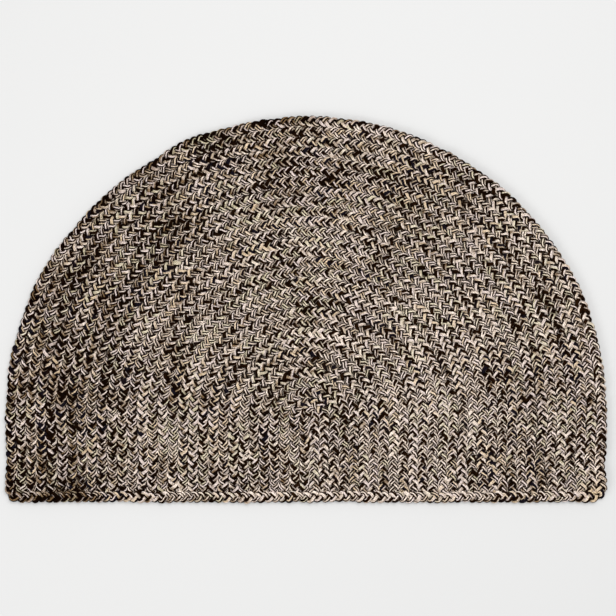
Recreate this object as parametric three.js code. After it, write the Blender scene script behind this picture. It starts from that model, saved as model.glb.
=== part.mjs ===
// A half-round doormat of braided jute rope, lying flat on the floor. A field of braid rows runs in nested
// U shapes round a short middle line, and an edge braid is sewn round the whole outline.
// Millimetres, +Z up. The underside is at z = 0, the straight edge faces -Y, and the origin is under the
// middle of the mat.
import * as THREE from "three";
import { mergeVertices } from "three/addons/utils/BufferGeometryUtils.js";

// Driving dimensions
const WIDTH = 700;
const DEPTH = 450;
const EDGE_HEIGHT = 9;
const ROWS = 29; // braid rows of the field on each side of the middle line
const EDGE_WIDTH = 11.6;
const SEAM_GAP = 0.35; // between the field and the edge braid
const SPINE_X = 4; // the middle line of the rows lies a little to the right of the outline's middle
const LEFT_CORNER_RADIUS = 14;
const RIGHT_CORNER_RADIUS = 17;

// Heights of the field's ribs, one rib for each braid row
const CREST_HEIGHT = 8.8;
const SEAM_HEIGHT = 6.3;
const SHOULDER = 0.27; // share of a row's width from the seam to the flat of its crest

// Sizes that follow
const ARC_RADIUS = WIDTH / 2;
const FRONT_Y = -DEPTH / 2;
const ARC_Y = DEPTH / 2 - ARC_RADIUS; // the height in plan of the arc's centre
const LEG = ARC_Y - FRONT_Y;
const FIELD_INSET = EDGE_WIDTH + SEAM_GAP;

// Steps of the meshes
const ARC_STEPS = 36;
const LEG_STEPS = 4;
const CORNER_STEPS = 6;
const FRONT_STEPS = 6;

// How far the handmade outline swells or draws in from a true arc, by angle from +X
const ARC_SWELL = [
  { degrees: 0, out: 0 },
  { degrees: 24, out: 2.3 },
  { degrees: 42, out: 1.2 },
  { degrees: 60, out: 0.2 },
  { degrees: 75, out: 0.4 },
  { degrees: 90, out: 0 },
  { degrees: 105, out: -0.8 },
  { degrees: 114, out: 1.4 },
  { degrees: 121, out: -1.6 },
  { degrees: 138, out: -1.4 },
  { degrees: 151, out: 0.8 },
  { degrees: 180, out: 0 },
];

// The same for the two straight sides, by how far below the arc's centre
const RIGHT_SWELL = [
  { drop: 0, out: 0 },
  { drop: 30, out: -0.8 },
  { drop: 56, out: -2.6 },
  { drop: 80, out: 0 },
  { drop: LEG, out: 0 },
];
const LEFT_SWELL = [
  { drop: 0, out: 0 },
  { drop: 50, out: -1.2 },
  { drop: 80, out: -0.6 },
  { drop: LEG, out: -0.6 },
];

const JUTE = new THREE.MeshStandardMaterial({ color: 0x796b5f, roughness: 0.95, metalness: 0 });
const EDGE_JUTE = new THREE.MeshStandardMaterial({ color: 0x6c5f54, roughness: 0.95, metalness: 0 });

/** The swell at a place in a table, eased from row to row. */
function swellAt(table, column, place) {
  const next = table.findIndex((row) => row[column] >= place);
  if (next <= 0) return table[Math.max(next, 0)].out;
  const [low, high] = [table[next - 1], table[next]];
  const share = THREE.MathUtils.smoothstep(place, low[column], high[column]);
  return THREE.MathUtils.lerp(low.out, high.out, share);
}

/** A point of the outline on the round side, drawn in by inset. */
function arcPoint(angle, inset) {
  const swell = swellAt(ARC_SWELL, "degrees", THREE.MathUtils.radToDeg(angle));
  const radius = ARC_RADIUS + swell - inset;
  return new THREE.Vector2(radius * Math.cos(angle), ARC_Y + radius * Math.sin(angle));
}

/** Where the meshes have points along a straight side, from above the corner up to the arc. */
function legHeights() {
  const start = FRONT_Y + Math.max(LEFT_CORNER_RADIUS, RIGHT_CORNER_RADIUS);
  return Array.from({ length: LEG_STEPS }, (_, step) => THREE.MathUtils.lerp(start, ARC_Y, step / LEG_STEPS));
}

/** A point of the outline on a straight side: side is 1 on the right and -1 on the left. */
function legPoint(side, y, inset) {
  const swell = swellAt(side > 0 ? RIGHT_SWELL : LEFT_SWELL, "drop", Math.min(ARC_Y - y, LEG));
  return new THREE.Vector2(side * (WIDTH / 2 + swell - inset), y);
}

/** How far the field stops short of the straight edge so that it follows the inside of a round corner. */
function cornerLift(side, fromEdge) {
  const radius = (side > 0 ? RIGHT_CORNER_RADIUS : LEFT_CORNER_RADIUS) - FIELD_INSET;
  if (fromEdge >= radius) return 0;
  return radius - Math.sqrt(radius ** 2 - (radius - fromEdge) ** 2);
}

/** The lines across the field, one for each station along the U: where each starts and where it ends. */
function fieldStations() {
  const across = (side, y) => ({ spine: new THREE.Vector2(SPINE_X, y), rim: legPoint(side, y, FIELD_INSET) });
  const leg = (side) => [
    { ...across(side, FRONT_Y + FIELD_INSET), endOf: side },
    ...legHeights().map((y) => across(side, y)),
  ];
  const arc = Array.from({ length: ARC_STEPS + 1 }, (_, step) => {
    const angle = (Math.PI * step) / ARC_STEPS;
    return { spine: new THREE.Vector2(SPINE_X, ARC_Y), rim: arcPoint(angle, FIELD_INSET) };
  });
  return [...leg(1), ...arc, ...leg(-1).reverse()];
}

/** The rib profile across the field, as a share of the way from the middle line to the rim, and a height. */
function ribProfile() {
  const points = [];
  for (let row = 0; row < ROWS; row++) {
    points.push({ share: row / ROWS, z: SEAM_HEIGHT });
    points.push({ share: (row + SHOULDER) / ROWS, z: CREST_HEIGHT });
    points.push({ share: (row + 1 - SHOULDER) / ROWS, z: CREST_HEIGHT });
  }
  points.push({ share: 1, z: SEAM_HEIGHT });
  return points;
}

/** A closed geometry from points and triangles, with equal points merged and empty triangles left out. */
function solidGeometry(points, triangles) {
  const loose = new THREE.BufferGeometry().setFromPoints(points);
  loose.setIndex(triangles.flat());
  const merged = mergeVertices(loose, 1e-3);
  const index = merged.index.array;
  const kept = [];
  for (let i = 0; i < index.length; i += 3) {
    const [a, b, c] = [index[i], index[i + 1], index[i + 2]];
    if (a !== b && b !== c && c !== a) kept.push(a, b, c);
  }
  merged.setIndex(kept);
  merged.computeVertexNormals();
  return merged;
}

/** The field: ribs raised on the top, upright sides, and a flat underside fanned from the middle. */
function fieldGeometry() {
  const stations = fieldStations();
  const profile = ribProfile();
  const points = [];
  const triangles = [];
  for (const { spine, rim, endOf } of stations) {
    for (const { share, z } of profile) {
      const place = spine.clone().lerp(rim, share);
      const lift = endOf ? cornerLift(endOf, Math.abs(rim.x - place.x)) : 0;
      points.push(new THREE.Vector3(place.x, place.y + lift, z));
    }
  }
  const last = profile.length - 1;
  const at = (station, column) => station * profile.length + column;
  for (let station = 0; station + 1 < stations.length; station++) {
    for (let column = 0; column < last; column++) {
      const [inner, outer] = [at(station, column), at(station, column + 1)];
      const [innerNext, outerNext] = [at(station + 1, column), at(station + 1, column + 1)];
      triangles.push([inner, outer, outerNext], [inner, outerNext, innerNext]);
    }
  }

  // The rim, then the front end of the left leg, then the front end of the right leg
  const loop = stations.map((_, station) => at(station, last));
  for (let column = last - 1; column >= 0; column--) loop.push(at(stations.length - 1, column));
  for (let column = 1; column < last; column++) loop.push(at(0, column));
  const floorStart = points.length;
  for (const i of loop) points.push(new THREE.Vector3(points[i].x, points[i].y, 0));
  const middle = points.length;
  points.push(new THREE.Vector3(SPINE_X, ARC_Y, 0));
  loop.forEach((top, i) => {
    const next = (i + 1) % loop.length;
    const [low, lowNext] = [floorStart + i, floorStart + next];
    triangles.push([low, lowNext, loop[next]], [low, loop[next], top], [middle, lowNext, low]);
  });
  return solidGeometry(points, triangles);
}

/** The outline of the mat, counter-clockwise along the straight edge first: each point and its way inward. */
function outline() {
  const stations = [];
  const corner = (centreX, radius, from, to) => {
    const centre = new THREE.Vector2(centreX, FRONT_Y + radius);
    for (let step = 0; step <= CORNER_STEPS; step++) {
      const angle = THREE.MathUtils.lerp(from, to, step / CORNER_STEPS);
      const inward = new THREE.Vector2(-Math.cos(angle), -Math.sin(angle));
      stations.push({ place: centre.clone().addScaledVector(inward, -radius), inward });
    }
  };
  const leg = (side, heights) => {
    const inward = new THREE.Vector2(-side, 0);
    for (const y of heights) stations.push({ place: legPoint(side, y, 0), inward });
  };
  const frontStart = legPoint(-1, FRONT_Y, 0).x + LEFT_CORNER_RADIUS;
  const frontEnd = legPoint(1, FRONT_Y, 0).x - RIGHT_CORNER_RADIUS;
  for (let step = 1; step < FRONT_STEPS; step++) {
    const x = THREE.MathUtils.lerp(frontStart, frontEnd, step / FRONT_STEPS);
    stations.push({ place: new THREE.Vector2(x, FRONT_Y), inward: new THREE.Vector2(0, 1) });
  }
  corner(frontEnd, RIGHT_CORNER_RADIUS, -Math.PI / 2, 0);
  leg(1, legHeights().slice(1)); // the right corner ends at the first of them
  for (let step = 0; step <= ARC_STEPS; step++) {
    const angle = (Math.PI * step) / ARC_STEPS;
    const inward = new THREE.Vector2(-Math.cos(angle), -Math.sin(angle));
    stations.push({ place: arcPoint(angle, 0), inward });
  }
  leg(-1, legHeights().reverse());
  corner(frontStart, LEFT_CORNER_RADIUS, Math.PI, 1.5 * Math.PI);
  return stations;
}

/** The edge braid: one plump section carried round the outline and closed on itself. */
function edgeGeometry() {
  // Each point of the section: how far in from the outline, and its height, as shares
  const section = [
    { inward: 0.16, height: 0 },
    { inward: 0, height: 0.38 },
    { inward: 0.05, height: 0.74 },
    { inward: 0.27, height: 1 },
    { inward: 0.73, height: 1 },
    { inward: 0.95, height: 0.74 },
    { inward: 1, height: 0.38 },
    { inward: 0.84, height: 0 },
  ];
  const route = outline();
  const points = [];
  const triangles = [];
  for (const { place, inward } of route) {
    for (const step of section) {
      const { x, y } = place.clone().addScaledVector(inward, step.inward * EDGE_WIDTH);
      points.push(new THREE.Vector3(x, y, step.height * EDGE_HEIGHT));
    }
  }
  const at = (station, side) => (station % route.length) * section.length + (side % section.length);
  for (let station = 0; station < route.length; station++) {
    for (let side = 0; side < section.length; side++) {
      const [a, b] = [at(station, side), at(station, side + 1)];
      const [aNext, bNext] = [at(station + 1, side), at(station + 1, side + 1)];
      triangles.push([a, aNext, bNext], [a, bNext, b]);
    }
  }
  return solidGeometry(points, triangles);
}

const doormat = new THREE.Group();

const field = new THREE.Mesh(fieldGeometry(), JUTE);
field.name = "braided_field";
doormat.add(field);

const edge = new THREE.Mesh(edgeGeometry(), EDGE_JUTE);
edge.name = "edge_braid";
doormat.add(edge);

export default doormat;
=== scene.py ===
"""A half-round doormat of braided jute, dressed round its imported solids.

Every row of the field and the edge round the outline is a real three-strand braid. Each strand is a bundle of
eight yarns, some natural and some black, which slowly turns as the braid runs on, so that the shade of the
stitches changes along a row. Lengths are in metres unless a name says otherwise.
"""

import logging
import math
from dataclasses import dataclass, field
from enum import Enum

import bpy
import numpy as np
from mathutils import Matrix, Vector

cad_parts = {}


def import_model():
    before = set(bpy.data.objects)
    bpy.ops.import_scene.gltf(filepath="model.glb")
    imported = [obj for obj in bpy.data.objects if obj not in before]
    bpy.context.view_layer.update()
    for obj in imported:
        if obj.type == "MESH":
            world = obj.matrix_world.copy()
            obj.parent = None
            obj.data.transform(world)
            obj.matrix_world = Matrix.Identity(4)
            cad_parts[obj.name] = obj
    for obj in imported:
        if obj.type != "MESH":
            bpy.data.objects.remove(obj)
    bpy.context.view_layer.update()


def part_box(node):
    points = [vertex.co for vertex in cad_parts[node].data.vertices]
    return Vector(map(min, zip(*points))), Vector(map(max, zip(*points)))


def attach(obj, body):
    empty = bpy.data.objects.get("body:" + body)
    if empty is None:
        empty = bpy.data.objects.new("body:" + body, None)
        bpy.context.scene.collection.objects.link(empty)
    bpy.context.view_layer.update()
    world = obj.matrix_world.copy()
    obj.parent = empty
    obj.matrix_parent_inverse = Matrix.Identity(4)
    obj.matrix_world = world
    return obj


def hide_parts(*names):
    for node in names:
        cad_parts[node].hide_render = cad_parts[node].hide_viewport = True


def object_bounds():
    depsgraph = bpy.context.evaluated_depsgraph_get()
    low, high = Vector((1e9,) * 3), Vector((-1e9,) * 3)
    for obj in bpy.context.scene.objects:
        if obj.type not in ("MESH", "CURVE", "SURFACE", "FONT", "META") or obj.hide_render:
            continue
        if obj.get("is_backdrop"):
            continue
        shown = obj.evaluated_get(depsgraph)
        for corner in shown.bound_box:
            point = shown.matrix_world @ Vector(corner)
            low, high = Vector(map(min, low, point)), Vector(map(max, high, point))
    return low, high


LOG = logging.getLogger("doormat")

Colour = tuple[float, float, float, float]
Span = tuple[float, float]
Feed = bpy.types.NodeSocket | float | Colour  # what a node's input takes: another's output or a value
Feeds = dict[str | int, Feed]  # by the input's name or number

MM = 0.001
TINY = 1e-9  # far below any length or share that matters
UP = np.array([0.0, 0.0, 1.0])
SEED = 4170
BODY = "root"
FIELD_NODE = "braided_field"
EDGE_NODE = "edge_braid"
YARN_MAP = "yarn_lay"
BAKE_MAP = "OFBake"
TONE = "tone"
WARMTH = "warmth"
STRANDS = 3  # in each braid
YARNS = 8  # in each strand
SIDES = 2 * YARNS  # of a strand's mesh: a point on each yarn and one in each valley between two
CODE_STEP = 10.0  # from one strand's places on the yarn map to the next one's


class Side(Enum):
    """The two straight sides of the mat, each with the sign of its X."""

    LEFT = -1
    RIGHT = 1


@dataclass(frozen=True)
class Swell:
    """One row of a swell table."""

    place: float  # degrees round the arc, or millimetres below the arc's centre
    out: float  # how far the outline swells there, in millimetres


# How far the handmade outline swells or draws in from a true arc, by angle from +X
ARC_SWELL = (
    Swell(0, 0),
    Swell(24, 2.3),
    Swell(42, 1.2),
    Swell(60, 0.2),
    Swell(75, 0.4),
    Swell(90, 0),
    Swell(105, -0.8),
    Swell(114, 1.4),
    Swell(121, -1.6),
    Swell(138, -1.4),
    Swell(151, 0.8),
    Swell(180, 0),
)

# The same for the two straight sides, by how far below the arc's centre
SIDE_SWELL = {
    Side.RIGHT: (Swell(0, 0), Swell(30, -0.8), Swell(56, -2.6), Swell(80, 0), Swell(100, 0)),
    Side.LEFT: (Swell(0, 0), Swell(50, -1.2), Swell(80, -0.6), Swell(100, -0.6)),
}

CORNER_RADIUS = {Side.LEFT: 14 * MM, Side.RIGHT: 17 * MM}


@dataclass(frozen=True)
class Shade:
    """One row of the table of the edge braid's shades."""

    turn: float  # degrees from +X, seen from the middle of the round side
    tone: float  # how much more black yarn there is


# The braid round the outline is darker over the left half of the arc, and lighter at the right
EDGE_SHADES = (
    Shade(-90, -0.05),
    Shade(-20, -0.05),
    Shade(-12, 0.01),
    Shade(0, 0.01),
    Shade(15, 0.0),
    Shade(45, 0.02),
    Shade(80, 0.0),
    Shade(95, 0.09),
    Shade(115, 0.09),
    Shade(135, 0.03),
    Shade(165, -0.01),
    Shade(180, 0.05),
    Shade(192, 0.05),
    Shade(197, 0.08),
    Shade(206, -0.05),
    Shade(270, -0.05),
)


def placed(name: str, data: bpy.types.ID) -> bpy.types.Object:
    """Makes an object and links it to the scene.

    Args:
        name: Its name.
        data: Its mesh, light or camera.

    Returns:
        The object.
    """
    made = bpy.data.objects.new(name, data)
    bpy.context.scene.collection.objects.link(made)
    return made


def smooth(share: np.ndarray) -> np.ndarray:
    """Eases a share from 0 to 1 at both ends."""
    held = np.clip(share, 0.0, 1.0)
    return held * held * (3 - 2 * held)


def swell_at(table: tuple[Swell, ...], places: np.ndarray) -> np.ndarray:
    """The swell at each place, eased from row to row.

    Args:
        table: The rows, in order of place.
        places: Where the swell is wanted, in the table's unit.

    Returns:
        The swells, in metres.
    """
    at = np.array([row.place for row in table], float)
    out = np.array([row.out for row in table], float) * MM
    low = np.clip(np.searchsorted(at, places) - 1, 0, len(at) - 2)
    share = smooth((places - at[low]) / (at[low + 1] - at[low]))
    return out[low] + (out[low + 1] - out[low]) * share


@dataclass(frozen=True)
class Waver:
    """How one measure of a braid wavers along it, as a smooth random line that closes on itself."""

    size: float  # as a standard deviation, in the measure's own unit
    slow: float  # the fewest waves in each turn of a strand, but at least one in the whole braid
    quick: float  # the most

    def along(self, rng: np.random.Generator, share: np.ndarray, turns: float) -> np.ndarray:
        """The line along one braid.

        Args:
            rng: The source of its phases.
            share: Places along the braid, from 0 to 1.
            turns: How often a strand comes round in the whole braid.

        Returns:
            The line's value at each place.
        """
        waves = 7
        counts = np.round(np.geomspace(max(self.slow * turns, 1), max(self.quick * turns, 1), waves))
        phases = rng.uniform(0, 2 * math.pi, waves)
        total = np.sin(2 * math.pi * np.multiply.outer(share, counts) + phases).sum(-1)
        return total * self.size * math.sqrt(2 / waves)


class Ground:
    """A soft random field over the plan of the mat, for its clouds of shade and its small wobbles."""

    def __init__(self, seed: int, wavelengths: Span) -> None:
        """Draws the directions, lengths and phases of the waves.

        Args:
            seed: What the draws start from.
            wavelengths: The shortest and longest wave.
        """
        rng = np.random.default_rng(seed)
        waves = 14
        lengths = np.geomspace(wavelengths[0], wavelengths[1], waves)
        turns = rng.uniform(0, 2 * math.pi, waves)
        self.ways = np.column_stack([np.cos(turns), np.sin(turns)]) * (2 * math.pi / lengths)[:, None]
        self.phases = rng.uniform(0, 2 * math.pi, waves)

    def at(self, plan: np.ndarray) -> np.ndarray:
        """The field's value at points of the plan, with a standard deviation of about 1."""
        waves = len(self.phases)
        return np.sin(plan @ self.ways.T + self.phases).sum(-1) * math.sqrt(2 / waves)


@dataclass
class Lane:
    """The strip of the plan that one braid covers, by its inner and outer edge at stations along it."""

    inner: np.ndarray
    outer: np.ndarray
    closed: bool = False
    run: np.ndarray = field(init=False)

    def __post_init__(self) -> None:
        """Closes the strip if need be, and measures along its middle."""
        if self.closed:
            self.inner = np.vstack([self.inner, self.inner[:1]])
            self.outer = np.vstack([self.outer, self.outer[:1]])
        steps = np.linalg.norm(np.diff((self.inner + self.outer) / 2, axis=0), axis=1)
        self.run = np.concatenate([[0.0], np.cumsum(steps)])

    @property
    def length(self) -> float:
        """The length of the strip's middle line."""
        return float(self.run[-1])

    def at(self, run: np.ndarray, across: np.ndarray) -> np.ndarray:
        """Points of the plan.

        Args:
            run: How far along the middle line each point lies.
            across: How far across, from -0.5 on the inner edge to 0.5 on the outer one.

        Returns:
            One X and Y for each.
        """
        inner = np.column_stack([np.interp(run, self.run, self.inner[:, i]) for i in range(2)])
        outer = np.column_stack([np.interp(run, self.run, self.outer[:, i]) for i in range(2)])
        return inner + (outer - inner) * (across[:, None] + 0.5)


@dataclass
class Outline:
    """The plan of the mat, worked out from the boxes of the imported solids."""

    seam_gap: float = 0.35 * MM  # between the field and the edge braid
    spine_x: float = 4 * MM  # the rows' middle line lies a little to the right of the outline's middle
    rows: int = 29  # of the field, on each side of the middle line
    tuck: float = 2.5 * MM  # how far the rows' ends reach in under the edge braid
    bulge: float = 1.1 * MM  # how far the edge braid is drawn in, because its strands stand out past its lane
    front_lift: float = 0.7 * MM  # how much further it is drawn in along the straight edge
    front_steps: int = 200  # points along the straight edge
    half_width: float = field(init=False)
    front_y: float = field(init=False)
    arc_y: float = field(init=False)
    field_inset: float = field(init=False)
    edge_width: float = field(init=False)

    def __post_init__(self) -> None:
        """Reads the boxes."""
        low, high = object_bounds()
        field_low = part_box(FIELD_NODE)[0]
        self.half_width = (high[0] - low[0]) / 2
        self.front_y = low[1] + self.front_lift
        self.arc_y = high[1] - self.half_width
        self.field_inset = field_low[1] - low[1]
        self.edge_width = self.field_inset - self.seam_gap

    def arc(self, inset: float, steps: int = 720) -> np.ndarray:
        """The round side from right to left.

        Args:
            inset: How far it is drawn in.
            steps: How many steps it has.

        Returns:
            Points of the plan.
        """
        angles = np.linspace(0, math.pi, steps + 1)
        radius = self.half_width + swell_at(ARC_SWELL, np.degrees(angles)) - inset
        return np.column_stack([radius * np.cos(angles), self.arc_y + radius * np.sin(angles)])

    def leg(self, side: Side, start_y: float, inset: float, steps: int = 60) -> np.ndarray:
        """A straight side, up to just below the arc.

        Args:
            side: Which side.
            start_y: The Y of its foot.
            inset: How far it is drawn in.
            steps: How many points it has.

        Returns:
            Points of the plan.
        """
        heights = np.linspace(start_y, self.arc_y, steps, endpoint=False)
        swell = swell_at(SIDE_SWELL[side], (self.arc_y - heights) / MM)
        return np.column_stack([side.value * (self.half_width + swell - inset), heights])

    def u_line(self, start_y: float, inset: float) -> np.ndarray:
        """The right side, the arc and the left side, as one line.

        Args:
            start_y: The Y of both its feet.
            inset: How far it is drawn in.

        Returns:
            Points of the plan.
        """
        right = self.leg(Side.RIGHT, start_y, inset)
        left = self.leg(Side.LEFT, start_y, inset)
        return np.vstack([right, self.arc(inset), left[::-1]])

    def corner(self, side: Side, inset: float, steps: int = 24) -> np.ndarray:
        """The rounded corner at the foot of a side, counter-clockwise.

        Args:
            side: Which side.
            inset: How far it is drawn in.
            steps: How many steps it has.

        Returns:
            Points of the plan.
        """
        radius = CORNER_RADIUS[side]
        foot_swell = SIDE_SWELL[side][-1].out * MM
        foot_x = side.value * self.half_width + side.value * foot_swell
        centre = np.array([foot_x - side.value * radius, self.front_y + radius])
        start = -math.pi / 2 if side is Side.RIGHT else math.pi
        angles = start + np.linspace(0, math.pi / 2, steps + 1)
        ring = np.column_stack([np.cos(angles), np.sin(angles)])
        return centre + (radius - inset) * ring

    def loop(self, inset: float) -> np.ndarray:
        """The whole outline, counter-clockwise from the middle of the straight edge.

        Args:
            inset: How far it is drawn in.

        Returns:
            Points of the plan.
        """
        right, left = self.corner(Side.RIGHT, inset), self.corner(Side.LEFT, inset)
        front = np.linspace(left[-1], right[0], self.front_steps)
        half = self.front_steps // 2
        above = self.front_y + max(CORNER_RADIUS.values())
        return np.vstack([front[half:-1], right[:-1], self.u_line(above, inset), left, front[1:half]])

    def row_lane(self, row: int) -> Lane:
        """The lane of one row of the field.

        Args:
            row: The row's number, counted from the middle line.

        Returns:
            The lane.
        """
        rim = self.u_line(self.front_y + self.edge_width - self.tuck, self.field_inset)
        spine = np.column_stack([np.full(len(rim), self.spine_x), np.minimum(rim[:, 1], self.arc_y)])
        inner = spine + (rim - spine) * (row / self.rows)
        outer = spine + (rim - spine) * ((row + 1) / self.rows)
        return Lane(inner, outer)

    def edge_lane(self) -> Lane:
        """The lane of the edge braid, all round the outline."""
        return Lane(self.loop(self.edge_width), self.loop(self.bulge), closed=True)


@dataclass(frozen=True)
class BraidForm:
    """The shape of a three-strand braid."""

    turn: float = 24.6 * MM  # the length of braid in which a strand comes round to its place again
    reach: float = 0.415  # how far a strand swings from the middle, as a share of the lane's width
    sharpness: float = 0.97  # how straight a strand runs between its turns, from 0 to 1
    middle_share: float = 0.36  # of a crossing, when a strand passes the braid's middle
    dive_share: float = 0.37  # of a crossing, when it passes the middle height on its way down
    head_start: float = 0.03  # of a crossing, how long before its turn it passes the middle height again
    steepness: float = 0.12  # the lower, the steeper it climbs and the longer it lies level
    rise: float = 1.9 * MM  # how far a strand climbs and dives from the middle height
    middle: float = 4.4 * MM  # that height
    half_width: float = 3.15 * MM  # of a strand where it crosses over
    half_height: float = 2.1 * MM
    turn_half_width: float = 2.15 * MM  # of a strand where it turns back, standing on edge
    turn_half_height: float = 3.1 * MM
    squareness: float = 0.68  # the lower, the squarer the strand's section
    valley: float = 0.75  # the bundle's radius between two yarns, as a share of that over a yarn
    twist_length: float = 1500 * MM  # in which the bundle turns once about itself
    end_length: float = 7 * MM  # in which a strand thins out at the end of its braid
    end_rise: float = 0.35  # how much of its climb is left there
    end_plumpness: float = 0.62  # how much of its thickness is left there
    end_gap: float = 0.06  # of a crossing, the least from a strand's end to its next ring of points
    stations: tuple[float, ...] = (0.0, 0.10, 0.30, 0.44, 0.90)  # of the rings of points in each crossing


# The braid round the outline turns more roundly than the rows do, and is fuller at its turns
EDGE_FORM = BraidForm(
    sharpness=0.65,
    turn_half_width=2.5 * MM,
    turn_half_height=3.7 * MM,
    stations=(0.0, 0.05, 0.10, 0.20, 0.30, 0.37, 0.44, 0.67, 0.90, 0.95),
)


@dataclass(frozen=True)
class Handiwork:
    """How uneven the braids are, because they are made by hand."""

    turn: Span = (0.995, 1.005)  # the range of a whole braid's number of turns, as a share
    gait: Waver = Waver(0.014, 1 / 20, 1 / 3)  # how far the strands run ahead together, in turns
    lag: Waver = Waver(0.007, 1 / 6, 1 / 2)  # how far each one does by itself
    swing: Waver = Waver(0.06, 1 / 1.6, 1.3)  # how far a strand swings, as a share
    shift: Waver = Waver(0.012, 1 / 1.6, 1.3)  # where it lies across, as a share of the lane's width
    climb: Waver = Waver(0.06, 1 / 1.6, 1.3)  # how far it climbs, as a share
    lift: Waver = Waver(0.10 * MM, 1 / 1.6, 1.3)  # how high it lies
    plumpness: Waver = Waver(0.05, 1 / 1.6, 1.3)  # how thick it is, as a share
    roll: Waver = Waver(0.06, 1 / 12, 1 / 5)  # how far its bundle rolls to and fro, in turns
    yarn: Waver = Waver(0.05, 1 / 2, 1.5)  # how far each yarn stands out of the bundle, as a share
    wobble: float = 0.35 * MM  # of the rows over the plan
    wobble_waves: Span = (0.03, 0.12)  # the shortest and longest
    heave: float = 0.12 * MM  # of the whole mat's height
    heave_waves: Span = (0.05, 0.20)


@dataclass(frozen=True)
class ToneMix:
    """How the share of black yarn drifts over the mat, with painted shade added at the middle of each braid
    and on the edge braid's outer turns.
    """

    row_offset: float = 0.012  # from row to row
    row_drift: Waver = Waver(0.010, 0, 1 / 4)  # along each row by itself
    strand_drift: Waver = Waver(0.006, 1 / 20, 1 / 5)  # along each strand by itself
    cloud: float = 0.012  # over patches of the mat
    cloud_waves: Span = (0.03, 0.30)  # the shortest and longest
    lean: float = 0.13  # how much darker each metre to the left
    middle: float = 0.052  # how much painted shade darkens a braid's middle, where the strands dive, and painted light lightens its sides
    rim: float = 0.13  # how much painted shade darkens the outer turns of the edge braid, where the mat's side falls away from the light
    rim_shade_start: float = 0.35  # of a strand's swing outwards, where the painted shade starts
    rim_shade_reach: float = 0.6  # from there to where it is darkest
    arc_middle: tuple[float, float] = (0.0, -125 * MM)  # the middle of the round side
    tan_corner: tuple[float, float] = (334 * MM, -214 * MM)  # where the braid was spliced with tan yarn
    tan_reach: float = 15 * MM
    ring_rows: tuple[int, ...] = (0, 7, 9, 12, 20, 22, 25, 28)  # where the darker and lighter rings are set
    ring_tones: tuple[float, ...] = (0.0, -0.005, -0.016, 0.0, 0.003, 0.032, 0.027, 0.008)

    def ring(self, row: int) -> float:
        """The tone of a whole row."""
        return float(np.interp(row, self.ring_rows, self.ring_tones))

    def edge(self, plan: np.ndarray) -> np.ndarray:
        """The tone of the edge braid by where it lies.

        Args:
            plan: Points of the plan.

        Returns:
            One tone for each.
        """
        across, up = (plan - np.array(self.arc_middle)).T
        turns = (np.degrees(np.arctan2(up, across)) + 90.0) % 360.0 - 90.0
        at = [shade.turn for shade in EDGE_SHADES]
        return np.interp(turns, at, [shade.tone for shade in EDGE_SHADES])

    def warmth(self, plan: np.ndarray) -> np.ndarray:
        """How tan the natural yarn is at points of the plan, from 0 to 1."""
        away = np.linalg.norm(plan - np.array(self.tan_corner), axis=1) / self.tan_reach
        return np.exp(-(away**2))


@dataclass
class Walk:
    """One strand's way along its lane, at each of its rings of points."""

    lane: Lane
    turns: float  # how often a strand comes round in the whole braid
    share: np.ndarray  # how far along the braid each ring is, from 0 to 1
    phase: np.ndarray  # how many times the strand has crossed from side to side there
    rng: np.random.Generator

    @property
    def run(self) -> np.ndarray:
        """How far along the braid each ring is."""
        return self.share * self.lane.length

    def waver(self, how: Waver) -> np.ndarray:
        """The next random line along the strand."""
        return how.along(self.rng, self.share, self.turns)


@dataclass
class Strand:
    """One strand of a braid: its rings of points, how far along the braid each lies, and its shades there."""

    rings: np.ndarray
    run: np.ndarray
    tone: np.ndarray
    warmth: np.ndarray
    closed: bool

    @property
    def steps(self) -> int:
        """How many steps of skin the strand has."""
        return len(self.run) - 1


@dataclass
class BraidMesh:
    """The points and faces of one braid, with what its material reads."""

    points: np.ndarray
    quads: np.ndarray
    caps: np.ndarray
    yarn_map: np.ndarray
    bake_map: np.ndarray
    tone: np.ndarray
    warmth: np.ndarray

    def to_object(self, name: str) -> bpy.types.Object:
        """Makes the Blender object.

        Args:
            name: The piece's name.

        Returns:
            The object, linked to the scene.
        """
        mesh = bpy.data.meshes.new(name)
        mesh.vertices.add(len(self.points))
        mesh.vertices.foreach_set("co", self.points.astype(np.float32).ravel())
        corners = np.concatenate([self.quads.ravel(), self.caps.ravel()])
        mesh.loops.add(len(corners))
        mesh.loops.foreach_set("vertex_index", corners.astype(np.int32))
        counts = np.concatenate([np.full(len(self.quads), 4), np.full(len(self.caps), SIDES)])
        mesh.polygons.add(len(counts))
        mesh.polygons.foreach_set("loop_start", (np.cumsum(counts) - counts).astype(np.int32))
        mesh.update(calc_edges=True)
        mesh.shade_smooth()
        for map_name, places in ((YARN_MAP, self.yarn_map), (BAKE_MAP, self.bake_map)):
            layer = mesh.uv_layers.new(name=map_name)
            layer.uv.foreach_set("vector", places.astype(np.float32).ravel())
        for label, values in ((TONE, self.tone), (WARMTH, self.warmth)):
            attribute = mesh.attributes.new(label, "FLOAT", "POINT")
            attribute.data.foreach_set("value", values.astype(np.float32))
        return placed(name, mesh)


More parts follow.
